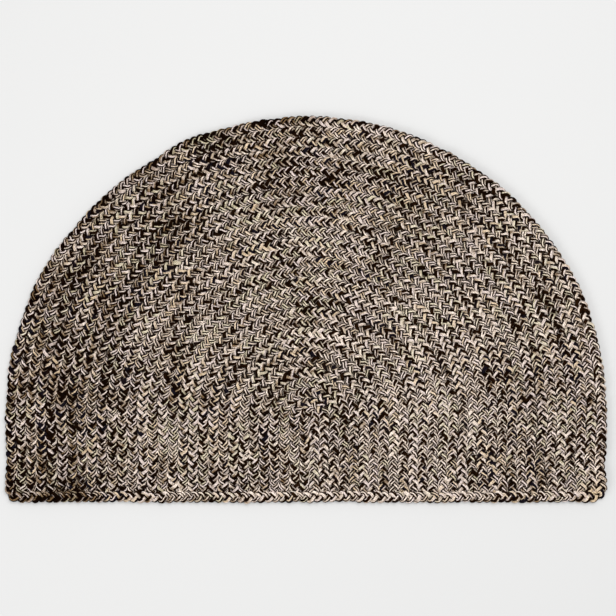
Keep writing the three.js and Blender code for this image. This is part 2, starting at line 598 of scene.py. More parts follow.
class Braider:
    """Lays three-strand braids into lanes."""

    fine_steps = 40  # in each turn, where a strand's way is worked out before its rings are set

    def __init__(self, form: BraidForm, mix: ToneMix, hand: Handiwork) -> None:
        """Sets up the fields that every braid shares.

        Args:
            form: The braids' shape.
            mix: How their black yarn drifts.
            hand: How uneven they are.
        """
        self.form = form
        self.mix = mix
        self.hand = hand
        self.wobble = [Ground(SEED + 1, hand.wobble_waves), Ground(SEED + 2, hand.wobble_waves)]
        self.clouds = Ground(SEED + 3, mix.cloud_waves)
        self.heave = Ground(SEED + 4, hand.heave_waves)
        self.section = self.even_section()

    def even_section(self) -> tuple[np.ndarray, np.ndarray, np.ndarray]:
        """The strand's section, measured so that its yarns can be set evenly round it.

        Returns:
            Shares of the way round, and how far beside and above the middle each lies, in half widths and
            half heights.
        """
        angles = np.linspace(0, 2 * math.pi, 721)
        beside = np.sign(np.cos(angles)) * np.abs(np.cos(angles)) ** self.form.squareness
        above = np.sign(np.sin(angles)) * np.abs(np.sin(angles)) ** self.form.squareness
        flatness = self.form.half_height / self.form.half_width
        steps = np.hypot(np.diff(beside), np.diff(above) * flatness)
        round_it = np.concatenate([[0.0], np.cumsum(steps)])
        return round_it / round_it[-1], beside, above

    def braid(self, lane: Lane, number: int) -> BraidMesh:
        """One braid along a lane.

        Args:
            lane: Where it lies.
            number: The braid's number in the mat, which seeds its small differences.

        Returns:
            Its mesh.
        """
        rng = np.random.default_rng(SEED * 100 + number)
        turns = lane.length / self.form.turn * rng.uniform(*self.hand.turn)
        if lane.closed:
            turns = round(turns)
        fine = np.linspace(0, 1, int(turns * self.fine_steps) + 1)
        start = rng.uniform(0, 1)
        gait = self.hand.gait.along(rng, fine, turns)
        drift = self.mix.row_drift.along(rng, fine, turns) + rng.normal(0, self.mix.row_offset)
        strands = []
        for strand in range(STRANDS):
            lag = self.hand.lag.along(rng, fine, turns)
            crossings = 2 * (fine * turns + start + gait + lag + strand / STRANDS)
            share, phase = self.stations(fine, crossings, lane.closed)
            walk = Walk(lane, turns, share, phase, rng)
            rings = self.rings(walk)
            plan = rings.mean(1)[:, :2]
            tone = self.tone(walk, plan, number, np.interp(share, fine, drift))
            strands.append(Strand(rings, walk.run, tone, self.mix.warmth(plan), lane.closed))
        return self.joined(strands, number)

    def tone(self, walk: Walk, plan: np.ndarray, number: int, drift: np.ndarray) -> np.ndarray:
        """How much black yarn a strand has at each of its rings, with painted shade at the braid's middle and
        on the edge braid's outer turns.

        Args:
            walk: The strand's way.
            plan: The X and Y of each ring.
            number: The braid's number in the mat.
            drift: How the tone of the whole braid drifts there.

        Returns:
            The tones. The higher, the more of the yarn is black.
        """
        mix = self.mix
        swing = self.swing(walk.phase)
        tone = mix.ring(number) - mix.lean * plan[:, 0] + self.clouds.at(plan) * mix.cloud
        tone += drift
        tone += walk.waver(mix.strand_drift)
        # Painted shade at the braid's middle, where the strands dive under each other, and painted light on
        # its sides
        tone += mix.middle * np.cos(math.pi * np.minimum(np.abs(swing), 1.0))
        if walk.lane.closed:
            # Painted shade on the edge braid's outer turns, where the mat's side falls away from the light
            tone += mix.edge(plan) + mix.rim * smooth((swing - mix.rim_shade_start) / mix.rim_shade_reach)
        return tone

    def stations(
        self,
        fine: np.ndarray,
        crossings: np.ndarray,
        closed: bool,
    ) -> tuple[np.ndarray, np.ndarray]:
        """The places along a strand where its mesh has rings.

        Args:
            fine: Close places along the braid, from 0 to 1.
            crossings: How many times the strand has crossed the braid at each of them, never falling.
            closed: Whether the braid closes on itself.

        Returns:
            The places, and the number of crossings at each.
        """
        first, last = crossings[0], crossings[-1]
        whole = np.arange(math.floor(first), math.ceil(last) + 1)
        wanted = (whole[:, None] + np.array(self.form.stations)[None, :]).ravel()
        if closed:
            inside = wanted[(wanted >= first) & (wanted < last - TINY)]
            phase = np.append(inside, inside[0] + (last - first))
            share = np.interp(phase[:-1], crossings, fine)
            return np.append(share, share[0] + 1), phase
        gap = self.form.end_gap
        inside = wanted[(wanted > first + gap) & (wanted < last - gap)]
        phase = np.concatenate([[first], inside, [last]])
        return np.interp(phase, crossings, fine), phase

    def swing(self, phase: np.ndarray) -> np.ndarray:
        """How far to the side a strand lies.

        Args:
            phase: How many times it has crossed.

        Returns:
            Its places, from -1 on the inner side of the braid to 1 on the outer side.
        """
        form = self.form
        crossing = np.floor(phase + TINY)
        sideways = np.interp(phase - crossing, (0.0, form.middle_share, 1.0), (0.0, 0.5, 1.0))
        straight = np.arcsin(form.sharpness * np.cos(math.pi * sideways))
        return np.where(crossing % 2 == 0, 1.0, -1.0) * straight / math.asin(form.sharpness)

    def wholeness(self, walk: Walk) -> np.ndarray:
        """How whole a strand is at each of its rings.

        Args:
            walk: The strand's way.

        Returns:
            Shares, from 0 at the ends of an open braid to 1.
        """
        if walk.lane.closed:
            return np.ones_like(walk.share)
        from_end = np.minimum(walk.share, 1 - walk.share) * walk.lane.length
        return smooth(from_end / self.form.end_length)

    def path(self, walk: Walk, whole: np.ndarray) -> np.ndarray:
        """The middle line of a strand.

        Args:
            walk: The strand's way.
            whole: How whole the strand is at each ring.

        Returns:
            One point for each ring.
        """
        form, hand, lane = self.form, self.hand, walk.lane
        across = form.reach * self.swing(walk.phase) * (1 + walk.waver(hand.swing))
        across += walk.waver(hand.shift)
        way_over = walk.phase - np.floor(walk.phase + TINY)
        # Where in a crossing the strand passes its middle height, which is each half turn of the sine
        levels = (-form.head_start, form.dive_share, 1 - form.head_start, 1 + form.dive_share)
        lift = np.sin(2 * math.pi * np.interp(way_over, levels, (0.0, 0.5, 1.0, 1.5)))
        lift *= np.sqrt((1 + form.steepness) / (lift**2 + form.steepness))
        climb = form.rise * lift * (1 + walk.waver(hand.climb))
        plan = lane.at(walk.run % lane.length if lane.closed else walk.run, across)
        plan += np.column_stack([wave.at(plan) for wave in self.wobble]) * hand.wobble
        height = form.middle + climb * (form.end_rise + (1 - form.end_rise) * whole)
        height += walk.waver(hand.lift)
        height += self.heave.at(plan) * hand.heave
        path = np.column_stack([plan, height])
        if lane.closed:
            path[-1] = path[0]
        return path

    def axes(self, path: np.ndarray, closed: bool) -> tuple[np.ndarray, np.ndarray]:
        """The ways to the right of a strand and out of its top.

        Args:
            path: The strand's middle line.
            closed: Whether it closes on itself.

        Returns:
            One unit vector of each kind for each point of the line.
        """
        before = path[-2:-1] if closed else path[:1]
        after = path[1:2] if closed else path[-1:]
        way = np.vstack([path[1:], after]) - np.vstack([before, path[:-1]])
        way /= np.linalg.norm(way, axis=1, keepdims=True)
        right = np.cross(way, UP)
        right /= np.linalg.norm(right, axis=1, keepdims=True)
        return right, np.cross(right, way)

    def rings(self, walk: Walk) -> np.ndarray:
        """The rings of points along one strand.

        Args:
            walk: The strand's way.

        Returns:
            Points by place, side and axis.
        """
        form, hand = self.form, self.hand
        whole = self.wholeness(walk)
        path = self.path(walk, whole)
        right, over = self.axes(path, walk.lane.closed)
        on_edge = self.swing(walk.phase) ** 4
        plump = (1 + walk.waver(hand.plumpness)) * (form.end_plumpness + (1 - form.end_plumpness) * whole)
        half_width = (form.half_width + (form.turn_half_width - form.half_width) * on_edge) * plump
        half_height = (form.half_height + (form.turn_half_height - form.half_height) * on_edge) * plump
        twists = walk.lane.length / form.twist_length
        if walk.lane.closed:
            twists = round(twists)
        roll = walk.share * twists + walk.rng.uniform() + walk.waver(hand.roll)
        sides = np.arange(SIDES)
        round_it = (roll[:, None] + sides / SIDES) % 1.0
        radius = np.where(sides % 2 == 0, 1.0, form.valley) * np.ones_like(round_it)
        for yarn in range(YARNS):
            radius[:, 2 * yarn] += walk.waver(hand.yarn)
        beside = np.interp(round_it, self.section[0], self.section[1])
        above = np.interp(round_it, self.section[0], self.section[2])
        points = path[:, None, :] + right[:, None, :] * (half_width[:, None] * radius * beside)[..., None]
        points += over[:, None, :] * (half_height[:, None] * radius * above)[..., None]
        points[..., 2] = np.maximum(points[..., 2], 0.0)
        return points

    def joined(self, strands: list[Strand], number: int) -> BraidMesh:
        """Joins the strands into one mesh.

        Args:
            strands: The braid's strands.
            number: The braid's number in the mat.

        Returns:
            The mesh, with its maps and tones.
        """
        total = sum(strand.steps for strand in strands)
        sheet = StripSheet(total + 2 * STRANDS, self.form)
        points, quads, caps, yarn_map, bake_map = [], [], [], [], []
        tone, warmth = [], []
        base, laid = 0, 0
        for order, strand in enumerate(strands):
            count = strand.steps if strand.closed else strand.steps + 1
            step, side = np.meshgrid(np.arange(strand.steps), np.arange(SIDES), indexing="ij")
            ahead, beside = (step + 1) % count, (side + 1) % SIDES
            corners = [(step, side), (ahead, side), (ahead, beside), (step, beside)]
            quads.append(np.stack([base + s * SIDES + r for s, r in corners], -1).reshape(-1, 4))
            points.append(strand.rings[:count].reshape(-1, 3))
            tone.append(np.repeat(strand.tone[:count], SIDES))
            warmth.append(np.repeat(strand.warmth[:count], SIDES))
            code = CODE_STEP * (number * STRANDS + order)
            lay = [(step, side), (step + 1, side), (step + 1, side + 1), (step, side + 1)]
            along = np.stack([strand.run[s] for s, _ in lay], -1)
            round_it = np.stack([code + (r + 1) / 2 for _, r in lay], -1)
            yarn_map.append(np.stack([along, round_it], -1).reshape(-1, 2))
            bake_map.append(sheet.cells(laid + step, side).reshape(-1, 2))
            if not strand.closed:
                last = base + strand.steps * SIDES
                caps += [base + np.arange(SIDES), last + np.arange(SIDES)[::-1]]
            base += count * SIDES
            laid += strand.steps
        if caps:
            yarn_map.append(np.zeros((len(caps) * SIDES, 2)))
            bake_map.append(sheet.discs(total + np.arange(len(caps))).reshape(-1, 2))
        return BraidMesh(
            np.vstack(points),
            np.vstack(quads),
            np.array(caps, int).reshape(-1, SIDES),
            np.vstack(yarn_map),
            np.vstack(bake_map),
            np.concatenate(tone),
            np.concatenate(warmth),
        )


class StripSheet:
    """Lays the skins of long strands beside each other in columns on a square map, with none over another."""

    margin = 0.05  # of a column's width, kept free on each side
    slack = 1.15  # how much longer a strand is than its braid
    disc = 0.4  # the radius of the cap at a strand's end, as a share of its cell

    def __init__(self, cells: int, form: BraidForm) -> None:
        """Finds how many columns keep the skin's proportions.

        Args:
            cells: How many steps of strand there are to lay.
            form: The braid's form.
        """
        girth = 2 * math.pi * math.sqrt((form.half_width**2 + form.half_height**2) / 2)
        step_length = self.slack * form.turn / (2 * len(form.stations))
        self.columns = max(1, round(math.sqrt(cells * step_length / girth)))
        self.per_column = math.ceil(cells / self.columns)

    def cells(self, cell: np.ndarray, side: np.ndarray) -> np.ndarray:
        """The map's four corners of each quad.

        Args:
            cell: The quad's step of strand.
            side: Its side of the strand.

        Returns:
            Four places on the map for each quad.
        """
        column, place = cell // self.per_column, cell % self.per_column
        span = (1 - 2 * self.margin) / SIDES
        left = (column + self.margin + span * side) / self.columns
        right = (column + self.margin + span * (side + 1)) / self.columns
        low, high = place / self.per_column, (place + 1) / self.per_column
        corners = ((left, low), (left, high), (right, high), (right, low))
        return np.stack([np.stack(corner, -1) for corner in corners], -2)

    def discs(self, cell: np.ndarray) -> np.ndarray:
        """The map's corners of the caps at the strands' ends, each a small disc.

        Args:
            cell: The cell that each cap has for itself.

        Returns:
            One place on the map for each corner of each cap.
        """
        column, place = cell // self.per_column, cell % self.per_column
        angles = 2 * math.pi * np.arange(SIDES) / SIDES
        x = (column[:, None] + 0.5 + self.disc * np.cos(angles)) / self.columns
        y = (place[:, None] + 0.5 + self.disc * np.sin(angles)) / self.per_column
        return np.stack([x, y], -1)


@dataclass(frozen=True)
class Grain:
    """Noise that runs along the yarns."""

    per_metre: float  # how many waves
    spacing: float  # how far apart one yarn's noise is from its neighbour's, in waves
    detail: float = 0.0


@dataclass(frozen=True)
class Tint:
    """A colour that some of the yarn takes on."""

    colour: Colour
    span: Span  # of the value it follows, from where it starts to where there is most of it
    most: float  # how much of it there is then


class Nodes:
    """A small helper that adds nodes to a tree and links them."""

    def __init__(self, tree: bpy.types.NodeTree) -> None:
        """Keeps the tree."""
        self.tree = tree

    def feed(self, node: bpy.types.Node, inputs: Feeds) -> None:
        """Links or sets a node's inputs.

        Args:
            node: The node.
            inputs: What each input takes, by name or number.
        """
        for key, value in inputs.items():
            if isinstance(value, bpy.types.NodeSocket):
                self.tree.links.new(value, node.inputs[key])
            else:
                node.inputs[key].default_value = value

    def add(self, kind: str, inputs: Feeds | None = None, **settings: object) -> bpy.types.Node:
        """Adds a node.

        Args:
            kind: The node's type name.
            inputs: What each input takes, by name or number.
            **settings: The node's own settings.

        Returns:
            The node.
        """
        node = self.tree.nodes.new(kind)
        for name, value in settings.items():
            setattr(node, name, value)
        self.feed(node, inputs or {})
        return node

    def math(self, operation: str, *values: Feed) -> bpy.types.NodeSocket:
        """The result of a Math node on these values or sockets."""
        node = self.add("ShaderNodeMath", dict(enumerate(values)), operation=operation)
        return node.outputs[0]

    def group(self, tree: bpy.types.NodeTree, inputs: Feeds | None = None) -> bpy.types.NodeOutputs:
        """Places a node group, and returns its outputs."""
        return self.add("ShaderNodeGroup", inputs, node_tree=tree).outputs

    def mix(self, factor: Feed, first: Feed, second: Feed, blend: str = "MIX") -> bpy.types.NodeSocket:
        """The result of mixing two colours."""
        inputs = {0: factor, 6: first, 7: second}
        return self.add("ShaderNodeMix", inputs, data_type="RGBA", blend_type=blend).outputs[2]

    def bump(self, height: Feed, strength: float, depth: float) -> bpy.types.NodeSocket:
        """The normals of a relief."""
        inputs = {"Height": height, "Strength": strength, "Distance": depth}
        return self.add("ShaderNodeBump", inputs).outputs[0]

    def tinted(self, colour: Feed, tint: Tint, value: Feed) -> bpy.types.NodeSocket:
        """The colour with a tint laid over it by how high a value is."""
        return self.mix(self.spread(value, tint.span, (0.0, tint.most)), colour, tint.colour)

    def noise(self, grain: Grain, along: Feed, beside: Feed) -> bpy.types.NodeSocket:
        """Soft noise that runs along the yarns.

        Args:
            grain: Its scale.
            along: How far along its strand a point lies.
            beside: The number of its yarn or strand.

        Returns:
            The noise's socket.
        """
        place = self.add(
            "ShaderNodeCombineXYZ",
            {
                0: self.math("MULTIPLY", along, grain.per_metre),
                1: self.math("MULTIPLY", beside, grain.spacing),
            },
        )
        inputs = {"Vector": place.outputs[0], "Scale": 1.0, "Detail": grain.detail}
        return self.add("ShaderNodeTexNoise", inputs, noise_dimensions="2D").outputs[0]

    def spread(self, value: Feed, span: Span, to: Span = (0.0, 1.0)) -> bpy.types.NodeSocket:
        """The value moved from one span to another and held there."""
        inputs = {0: value, 1: span[0], 2: span[1], 3: to[0], 4: to[1]}
        return self.add("ShaderNodeMapRange", inputs).outputs[0]


def new_material(name: str) -> tuple[bpy.types.Material, Nodes, bpy.types.Node]:
    """An undressed material.

    Args:
        name: Its name.

    Returns:
        The material, the helper that adds its nodes, and its shader.
    """
    made = bpy.data.materials.new(name)
    made.use_nodes = True
    return made, Nodes(made.node_tree), made.node_tree.nodes["Principled BSDF"]


def new_group(name: str, inputs: dict[str, float], outputs: tuple[str, ...]) -> bpy.types.NodeTree:
    """An empty shader node group whose named sockets are all plain numbers.

    Args:
        name: The group's name.
        inputs: Each input's default value.
        outputs: The outputs' names.

    Returns:
        The group.
    """
    group = bpy.data.node_groups.new(name, "ShaderNodeTree")
    for label, value in inputs.items():
        socket = group.interface.new_socket(label, in_out="INPUT", socket_type="NodeSocketFloat")
        socket.default_value = value
    for label in outputs:
        group.interface.new_socket(label, in_out="OUTPUT", socket_type="NodeSocketFloat")
    return group


class YarnGroups:
    """The node groups that every yarn material uses."""

    strand_spacing = 12.3  # how far apart one strand's noise is from the next one's, in waves
    place_spacing = 1.4  # the same for one place round a strand and the next
    sway = Grain(130.0, 1.0, 1.0)  # how the yarns wander over their strand
    fray = Grain(750.0, 2.6, 1.0)  # how ragged their sides are
    change = Grain(16.0, 3.7, 3.0)  # where a yarn is black
    gathering = Grain(14.0, 7.1)  # where the black yarns of a strand lie in pairs
    gathered_span = (0.85, 1.15)  # over which they pass from lying singly to lying in pairs
    change_span = (-0.02, 0.02)  # over which a yarn turns from natural to black
    shading = Grain(170.0, 5.3, 2.0)  # how light a yarn's fibre is
    tone_light = -3.0  # how much lighter it is for each unit of tone: darker where more yarn is black, and where the tone carries painted shade
    lots = Grain(16.0, 4.7)  # which lot of fibre a strand is from
    hues = Grain(24.0, 2.9)  # how pink a yarn is
    fibre_twist = 320.0  # yarn widths that the fibres run across in each metre
    fibre_spacing = 3.7  # how far apart one yarn's fibres are from the next one's, in waves
    fibre_detail = 3.0
    ply_slant = 0.9  # of a ply's width, how far its ridge moves along over the yarn's width
    ply_notch = -0.30  # how much narrower a cleft is where a ply's ridge meets it
    cleft_span = (0.5, 0.85)  # of half a yarn's width, from where a cleft starts to where it is dark
    groove_span = (0.0, 0.6)  # of a ply's height, from where a groove is dark to where it ends

    def __init__(self) -> None:
        """Builds each group once."""
        self.lay = self.build_lay()
        self.mix = self.build_mix()
        self.fibres = self.build_fibres()
        self.relief = self.build_relief()

    def build_lay(self) -> bpy.types.NodeTree:
        """Where a point lies on its strand: how far along, on which yarn, and how far across that yarn.

        Returns:
            The group.
        """
        group = new_group(
            "yarn_lay",
            {"Sway": 0.8, "Fray": 0.45},
            ("Along", "Across", "Yarn", "Single", "Paired", "Strand"),
        )
        nodes = Nodes(group)
        wanted = nodes.add("NodeGroupInput").outputs
        lay_map = nodes.add("ShaderNodeUVMap", uv_map=YARN_MAP).outputs[0]
        along, code = nodes.add("ShaderNodeSeparateXYZ", {0: lay_map}).outputs[:2]
        strand = nodes.math("FLOOR", nodes.math("DIVIDE", code, CODE_STEP))
        within = nodes.math("MULTIPLY_ADD", strand, -CODE_STEP, code)
        spaced = nodes.math("MULTIPLY", within, self.place_spacing)
        beside = nodes.math("MULTIPLY_ADD", strand, self.strand_spacing, spaced)
        fray = nodes.math("SUBTRACT", nodes.noise(self.fray, along, beside), 0.5)
        sway = nodes.math("SUBTRACT", nodes.noise(self.sway, along, beside), 0.5)
        frayed = nodes.math("MULTIPLY_ADD", fray, wanted["Fray"], within)
        swayed = nodes.math("MULTIPLY_ADD", sway, wanted["Sway"], frayed)
        lane = nodes.math("FLOORED_MODULO", swayed, float(YARNS))
        order = nodes.math("FLOOR", lane)
        # Single picks every other yarn, and Paired picks two side by side in every four
        in_four = nodes.math("FLOORED_MODULO", nodes.math("ADD", order, 1.0), 4.0)
        nodes.add(
            "NodeGroupOutput",
            {
                "Along": along,
                "Across": nodes.math("FRACT", lane),
                "Yarn": nodes.math("MULTIPLY_ADD", strand, float(YARNS), order),
                "Single": nodes.math("FLOORED_MODULO", order, 2.0),
                "Paired": nodes.math("GREATER_THAN", in_four, 1.5),
                "Strand": strand,
            },
        )
        return group

    def build_mix(self) -> bpy.types.NodeTree:
        """Which yarns are black, how light each natural one is, and which lot its fibre is from.

        Returns:
            The group.
        """
        group = new_group(
            "yarn_mix",
            {"Tone": 0.0, "Cut": 0.5, "Alternation": 0.1, "Pairing": 0.5},
            ("Black", "Shade", "Lot", "Hue"),
        )
        nodes = Nodes(group)
        wanted = nodes.add("NodeGroupInput").outputs
        lay = nodes.group(self.lay)
        along, yarn, strand = lay["Along"], lay["Yarn"], lay["Strand"]
        place = nodes.math("ADD", nodes.noise(self.change, along, yarn), wanted["Tone"])
        gathered = nodes.math("ADD", nodes.noise(self.gathering, along, strand), wanted["Pairing"])
        gathered = nodes.spread(gathered, self.gathered_span)
        apart = nodes.math("SUBTRACT", lay["Paired"], lay["Single"])
        laid = nodes.math("MULTIPLY_ADD", apart, gathered, lay["Single"])
        turned = nodes.math("SUBTRACT", laid, 0.5)
        place = nodes.math("MULTIPLY_ADD", turned, wanted["Alternation"], place)
        over = nodes.math("SUBTRACT", place, wanted["Cut"])
        shade = nodes.noise(self.shading, along, yarn)
        nodes.add(
            "NodeGroupOutput",
            {
                "Black": nodes.spread(over, self.change_span),
                "Shade": nodes.math("MULTIPLY_ADD", wanted["Tone"], self.tone_light, shade),
                "Lot": nodes.noise(self.lots, along, strand),
                "Hue": nodes.noise(self.hues, along, yarn),
            },
        )
        return group

    def build_fibres(self) -> bpy.types.NodeTree:
        """Long fine streaks of fibre that run along a yarn at its twist.

        Returns:
            The group.
        """
        group = new_group("fibre_streaks", {"Streaks per metre": 420.0, "Fineness": 6.0}, ("Streaks",))
        nodes = Nodes(group)
        wanted = nodes.add("NodeGroupInput").outputs
        lay = nodes.group(self.lay)
        twisted = nodes.math("MULTIPLY_ADD", lay["Along"], self.fibre_twist, lay["Across"])
        place = nodes.add(
            "ShaderNodeCombineXYZ",
            {
                0: nodes.math("MULTIPLY", lay["Along"], wanted["Streaks per metre"]),
                1: nodes.math("MULTIPLY", twisted, wanted["Fineness"]),
                2: nodes.math("MULTIPLY", lay["Yarn"], self.fibre_spacing),
            },
        )
        inputs = {"Vector": place.outputs[0], "Scale": 1.0, "Detail": self.fibre_detail}
        streaks = nodes.add("ShaderNodeTexNoise", inputs).outputs[0]
        nodes.add("NodeGroupOutput", {"Streaks": streaks})
        return group

    def build_relief(self) -> bpy.types.NodeTree:
        """The height of a yarn, round across and ridged by its plies, and the clefts and grooves in it.

        Returns:
            The group.
        """
        group = new_group(
            "yarn_relief",
            {"Plies per metre": 640.0, "Ply depth": 0.8},
            ("Height", "Cleft", "Groove"),
        )
        nodes = Nodes(group)
        wanted = nodes.add("NodeGroupInput").outputs
        lay = nodes.group(self.lay)
        centred = nodes.math("MULTIPLY_ADD", lay["Across"], 2.0, -1.0)
        fall = nodes.math("SUBTRACT", 1.0, nodes.math("MULTIPLY", centred, centred))
        round_top = nodes.math("SQRT", nodes.math("MAXIMUM", fall, 0.0))
        slanted = nodes.math("MULTIPLY_ADD", lay["Across"], self.ply_slant, lay["Yarn"])
        turn = nodes.math("MULTIPLY_ADD", lay["Along"], wanted["Plies per metre"], slanted)
        ridge = nodes.math("ABSOLUTE", nodes.math("SINE", nodes.math("MULTIPLY", turn, math.pi)))
        from_middle = nodes.math("ABSOLUTE", centred)
        notch = nodes.math("MULTIPLY_ADD", ridge, self.ply_notch, from_middle)
        nodes.add(
            "NodeGroupOutput",
            {
                "Height": nodes.math("MULTIPLY_ADD", ridge, wanted["Ply depth"], round_top),
                "Cleft": nodes.spread(notch, self.cleft_span),
                "Groove": nodes.spread(ridge, self.groove_span, (1.0, 0.0)),
            },
        )
        return group


@dataclass(frozen=True)
class JuteFinish:
    """The finish of a marled jute braid, of natural yarn and black."""

    name: str
    cut: float = 0.433  # the higher, the fewer yarns are black
    alternation: float = 0.60  # how much likelier some of the yarns are to be black than others
    pairing: float = 0.50  # how much of the mat has the likelier ones in pairs
    streak_light: float = 0.8  # how much of a yarn's lightness comes from its streaks
    shade_light: float = 0.6  # how much of it comes from its shade
    natural_dark: Colour = (0.185, 0.116, 0.058, 1.0)
    natural_light: Colour = (0.95, 0.825, 0.72, 1.0)
    natural_span: Span = (0.51, 0.84)  # of lightness, from the dark colour to the light one
    tan: Tint = Tint((0.72, 0.56, 0.37, 1.0), (0.60, 0.75), 0.7)  # by its lot
    green: Tint = Tint((0.68, 0.63, 0.44, 1.0), (0.40, 0.28), 0.6)  # by its lot
    pink: Tint = Tint((0.77, 0.66, 0.63, 1.0), (0.52, 0.70), 0.8)  # by its hue
    black_deep: Colour = (0.0045, 0.0016, 0.0006, 1.0)
    black_worn: Colour = (0.022, 0.0085, 0.0026, 1.0)
    black_span: Span = (0.58, 0.92)  # of lightness, from the deep colour to the worn one
    blue: Tint = Tint((0.007, 0.007, 0.013, 1.0), (0.66, 0.76), 0.8)  # by its lot
    shadow: Colour = (0.27, 0.205, 0.15, 1.0)  # what is left of a natural yarn's colour deep in a cleft
    cleft: float = 0.98  # how much of that shadow the clefts between yarns have
    groove: float = 0.91  # how much the grooves between plies have
    streak_span: Span = (0.3, 0.7)  # from between the streaks to on them
    roughness: Span = (0.98, 0.85)  # the same way
    specular: float = 0.01
    streak_height: float = 0.7  # of the streaks, where 1 is the height of a yarn's round
    bump: float = 0.85
    bump_depth: float = 0.5 * MM

    def material(self, groups: YarnGroups) -> bpy.types.Material:
        """Builds the material.

        Args:
            groups: The shared node groups.

        Returns:
            The material.
        """
        made, nodes, shader = new_material(self.name)
        streaks = nodes.group(groups.fibres)["Streaks"]
        height, cleft, groove = nodes.group(groups.relief)
        cleft = nodes.math("MULTIPLY", cleft, self.cleft)
        shadow = nodes.math("MAXIMUM", cleft, nodes.math("MULTIPLY", groove, self.groove))
        height = nodes.math("MULTIPLY_ADD", streaks, self.streak_height, height)
        dressing = {
            "Base Color": self.colour(nodes, groups, streaks, shadow),
            "Roughness": nodes.spread(streaks, self.streak_span, self.roughness),
            "Normal": nodes.bump(height, self.bump, self.bump_depth),
            "Specular IOR Level": self.specular,
        }
        nodes.feed(shader, dressing)
        return made

    def colour(
        self,
        nodes: Nodes,
        groups: YarnGroups,
        streaks: bpy.types.NodeSocket,
        shadow: bpy.types.NodeSocket,
    ) -> bpy.types.NodeSocket:
        """The colour of the yarn.

        Args:
            nodes: The material's nodes.
            groups: The shared node groups.
            streaks: Where its fibres catch the light.
            shadow: How deep in a cleft or a groove a point is.

        Returns:
            The colour's socket.
        """
        tone = nodes.add("ShaderNodeAttribute", attribute_name=TONE).outputs["Fac"]
        warmth = nodes.add("ShaderNodeAttribute", attribute_name=WARMTH).outputs["Fac"]
        wanted = {"Tone": tone, "Cut": self.cut, "Alternation": self.alternation, "Pairing": self.pairing}
        black, shade, lot, hue = nodes.group(groups.mix, wanted)
        shade = nodes.math("MULTIPLY", shade, self.shade_light)
        light = nodes.math("MULTIPLY_ADD", streaks, self.streak_light, shade)
        natural = nodes.mix(nodes.spread(light, self.natural_span), self.natural_dark, self.natural_light)
        tan = nodes.math("MAXIMUM", nodes.spread(lot, self.tan.span, (0.0, self.tan.most)), warmth)
        natural = nodes.mix(tan, natural, self.tan.colour)
        natural = nodes.tinted(natural, self.green, lot)
        natural = nodes.tinted(natural, self.pink, hue)
        natural = nodes.mix(shadow, natural, self.shadow, "MULTIPLY")
        dark = nodes.mix(nodes.spread(light, self.black_span), self.black_deep, self.black_worn)
        dark = nodes.tinted(dark, self.blue, lot)
        dark = nodes.mix(shadow, dark, self.black_deep)
        return nodes.mix(black, natural, dark)


@dataclass(frozen=True)
class InnerShadeFinish:
    """The dark felted fibre inside the mat, which only shows deep between the strands; its darkness is
    painted shade.
    """

    name: str = "inner_fibre_painted_shade"
    # Painted shade: both colours are kept near black so that they show as the shade deep between the strands
    deep: Colour = (0.006, 0.004, 0.003, 1.0)
    pale: Colour = (0.030, 0.021, 0.014, 1.0)
    felt_scale: float = 700.0
    felt_detail: float = 3.0
    felt_span: Span = (0.4, 0.7)  # from the deep colour to the pale one
    roughness: float = 0.95
    specular: float = 0.15
    bump: float = 0.5
    bump_depth: float = 0.3 * MM

    def material(self) -> bpy.types.Material:
        """Builds the material.

        Returns:
            The material.
        """
        made, nodes, shader = new_material(self.name)
        place = nodes.add("ShaderNodeTexCoord").outputs["Object"]
        noise = {"Vector": place, "Scale": self.felt_scale, "Detail": self.felt_detail}
        felt = nodes.add("ShaderNodeTexNoise", noise).outputs[0]
        dressing = {
            "Base Color": nodes.mix(nodes.spread(felt, self.felt_span), self.deep, self.pale),
            "Roughness": self.roughness,
            "Normal": nodes.bump(felt, self.bump, self.bump_depth),
            "Specular IOR Level": self.specular,
        }
        nodes.feed(shader, dressing)
        return made


@dataclass
class BraidedField:
    """The rows of braid inside the edge."""

    outline: Outline
    braider: Braider
    material: bpy.types.Material

    def build(self) -> list[bpy.types.Object]:
        """Builds each row as its own piece.

        Returns:
            The rows, from the middle outwards.
        """
        made = []
        for row in range(self.outline.rows):
            mesh = self.braider.braid(self.outline.row_lane(row), row)
            piece = mesh.to_object(f"braid_row_{row + 1:02d}")
            piece.data.materials.append(self.material)
            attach(piece, BODY)
            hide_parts(FIELD_NODE)
            made.append(piece)
        return made


@dataclass
class EdgeBraid:
    """The braid sewn round the whole outline."""

    outline: Outline
    braider: Braider
    material: bpy.types.Material

    def build(self) -> bpy.types.Object:
        """Builds the braid as one piece that closes on itself.

        Returns:
            The piece.
        """
        mesh = self.braider.braid(self.outline.edge_lane(), self.outline.rows)
        piece = mesh.to_object("braid_edge")
        piece.data.materials.append(self.material)
        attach(piece, BODY)
        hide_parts(EDGE_NODE)
        return piece


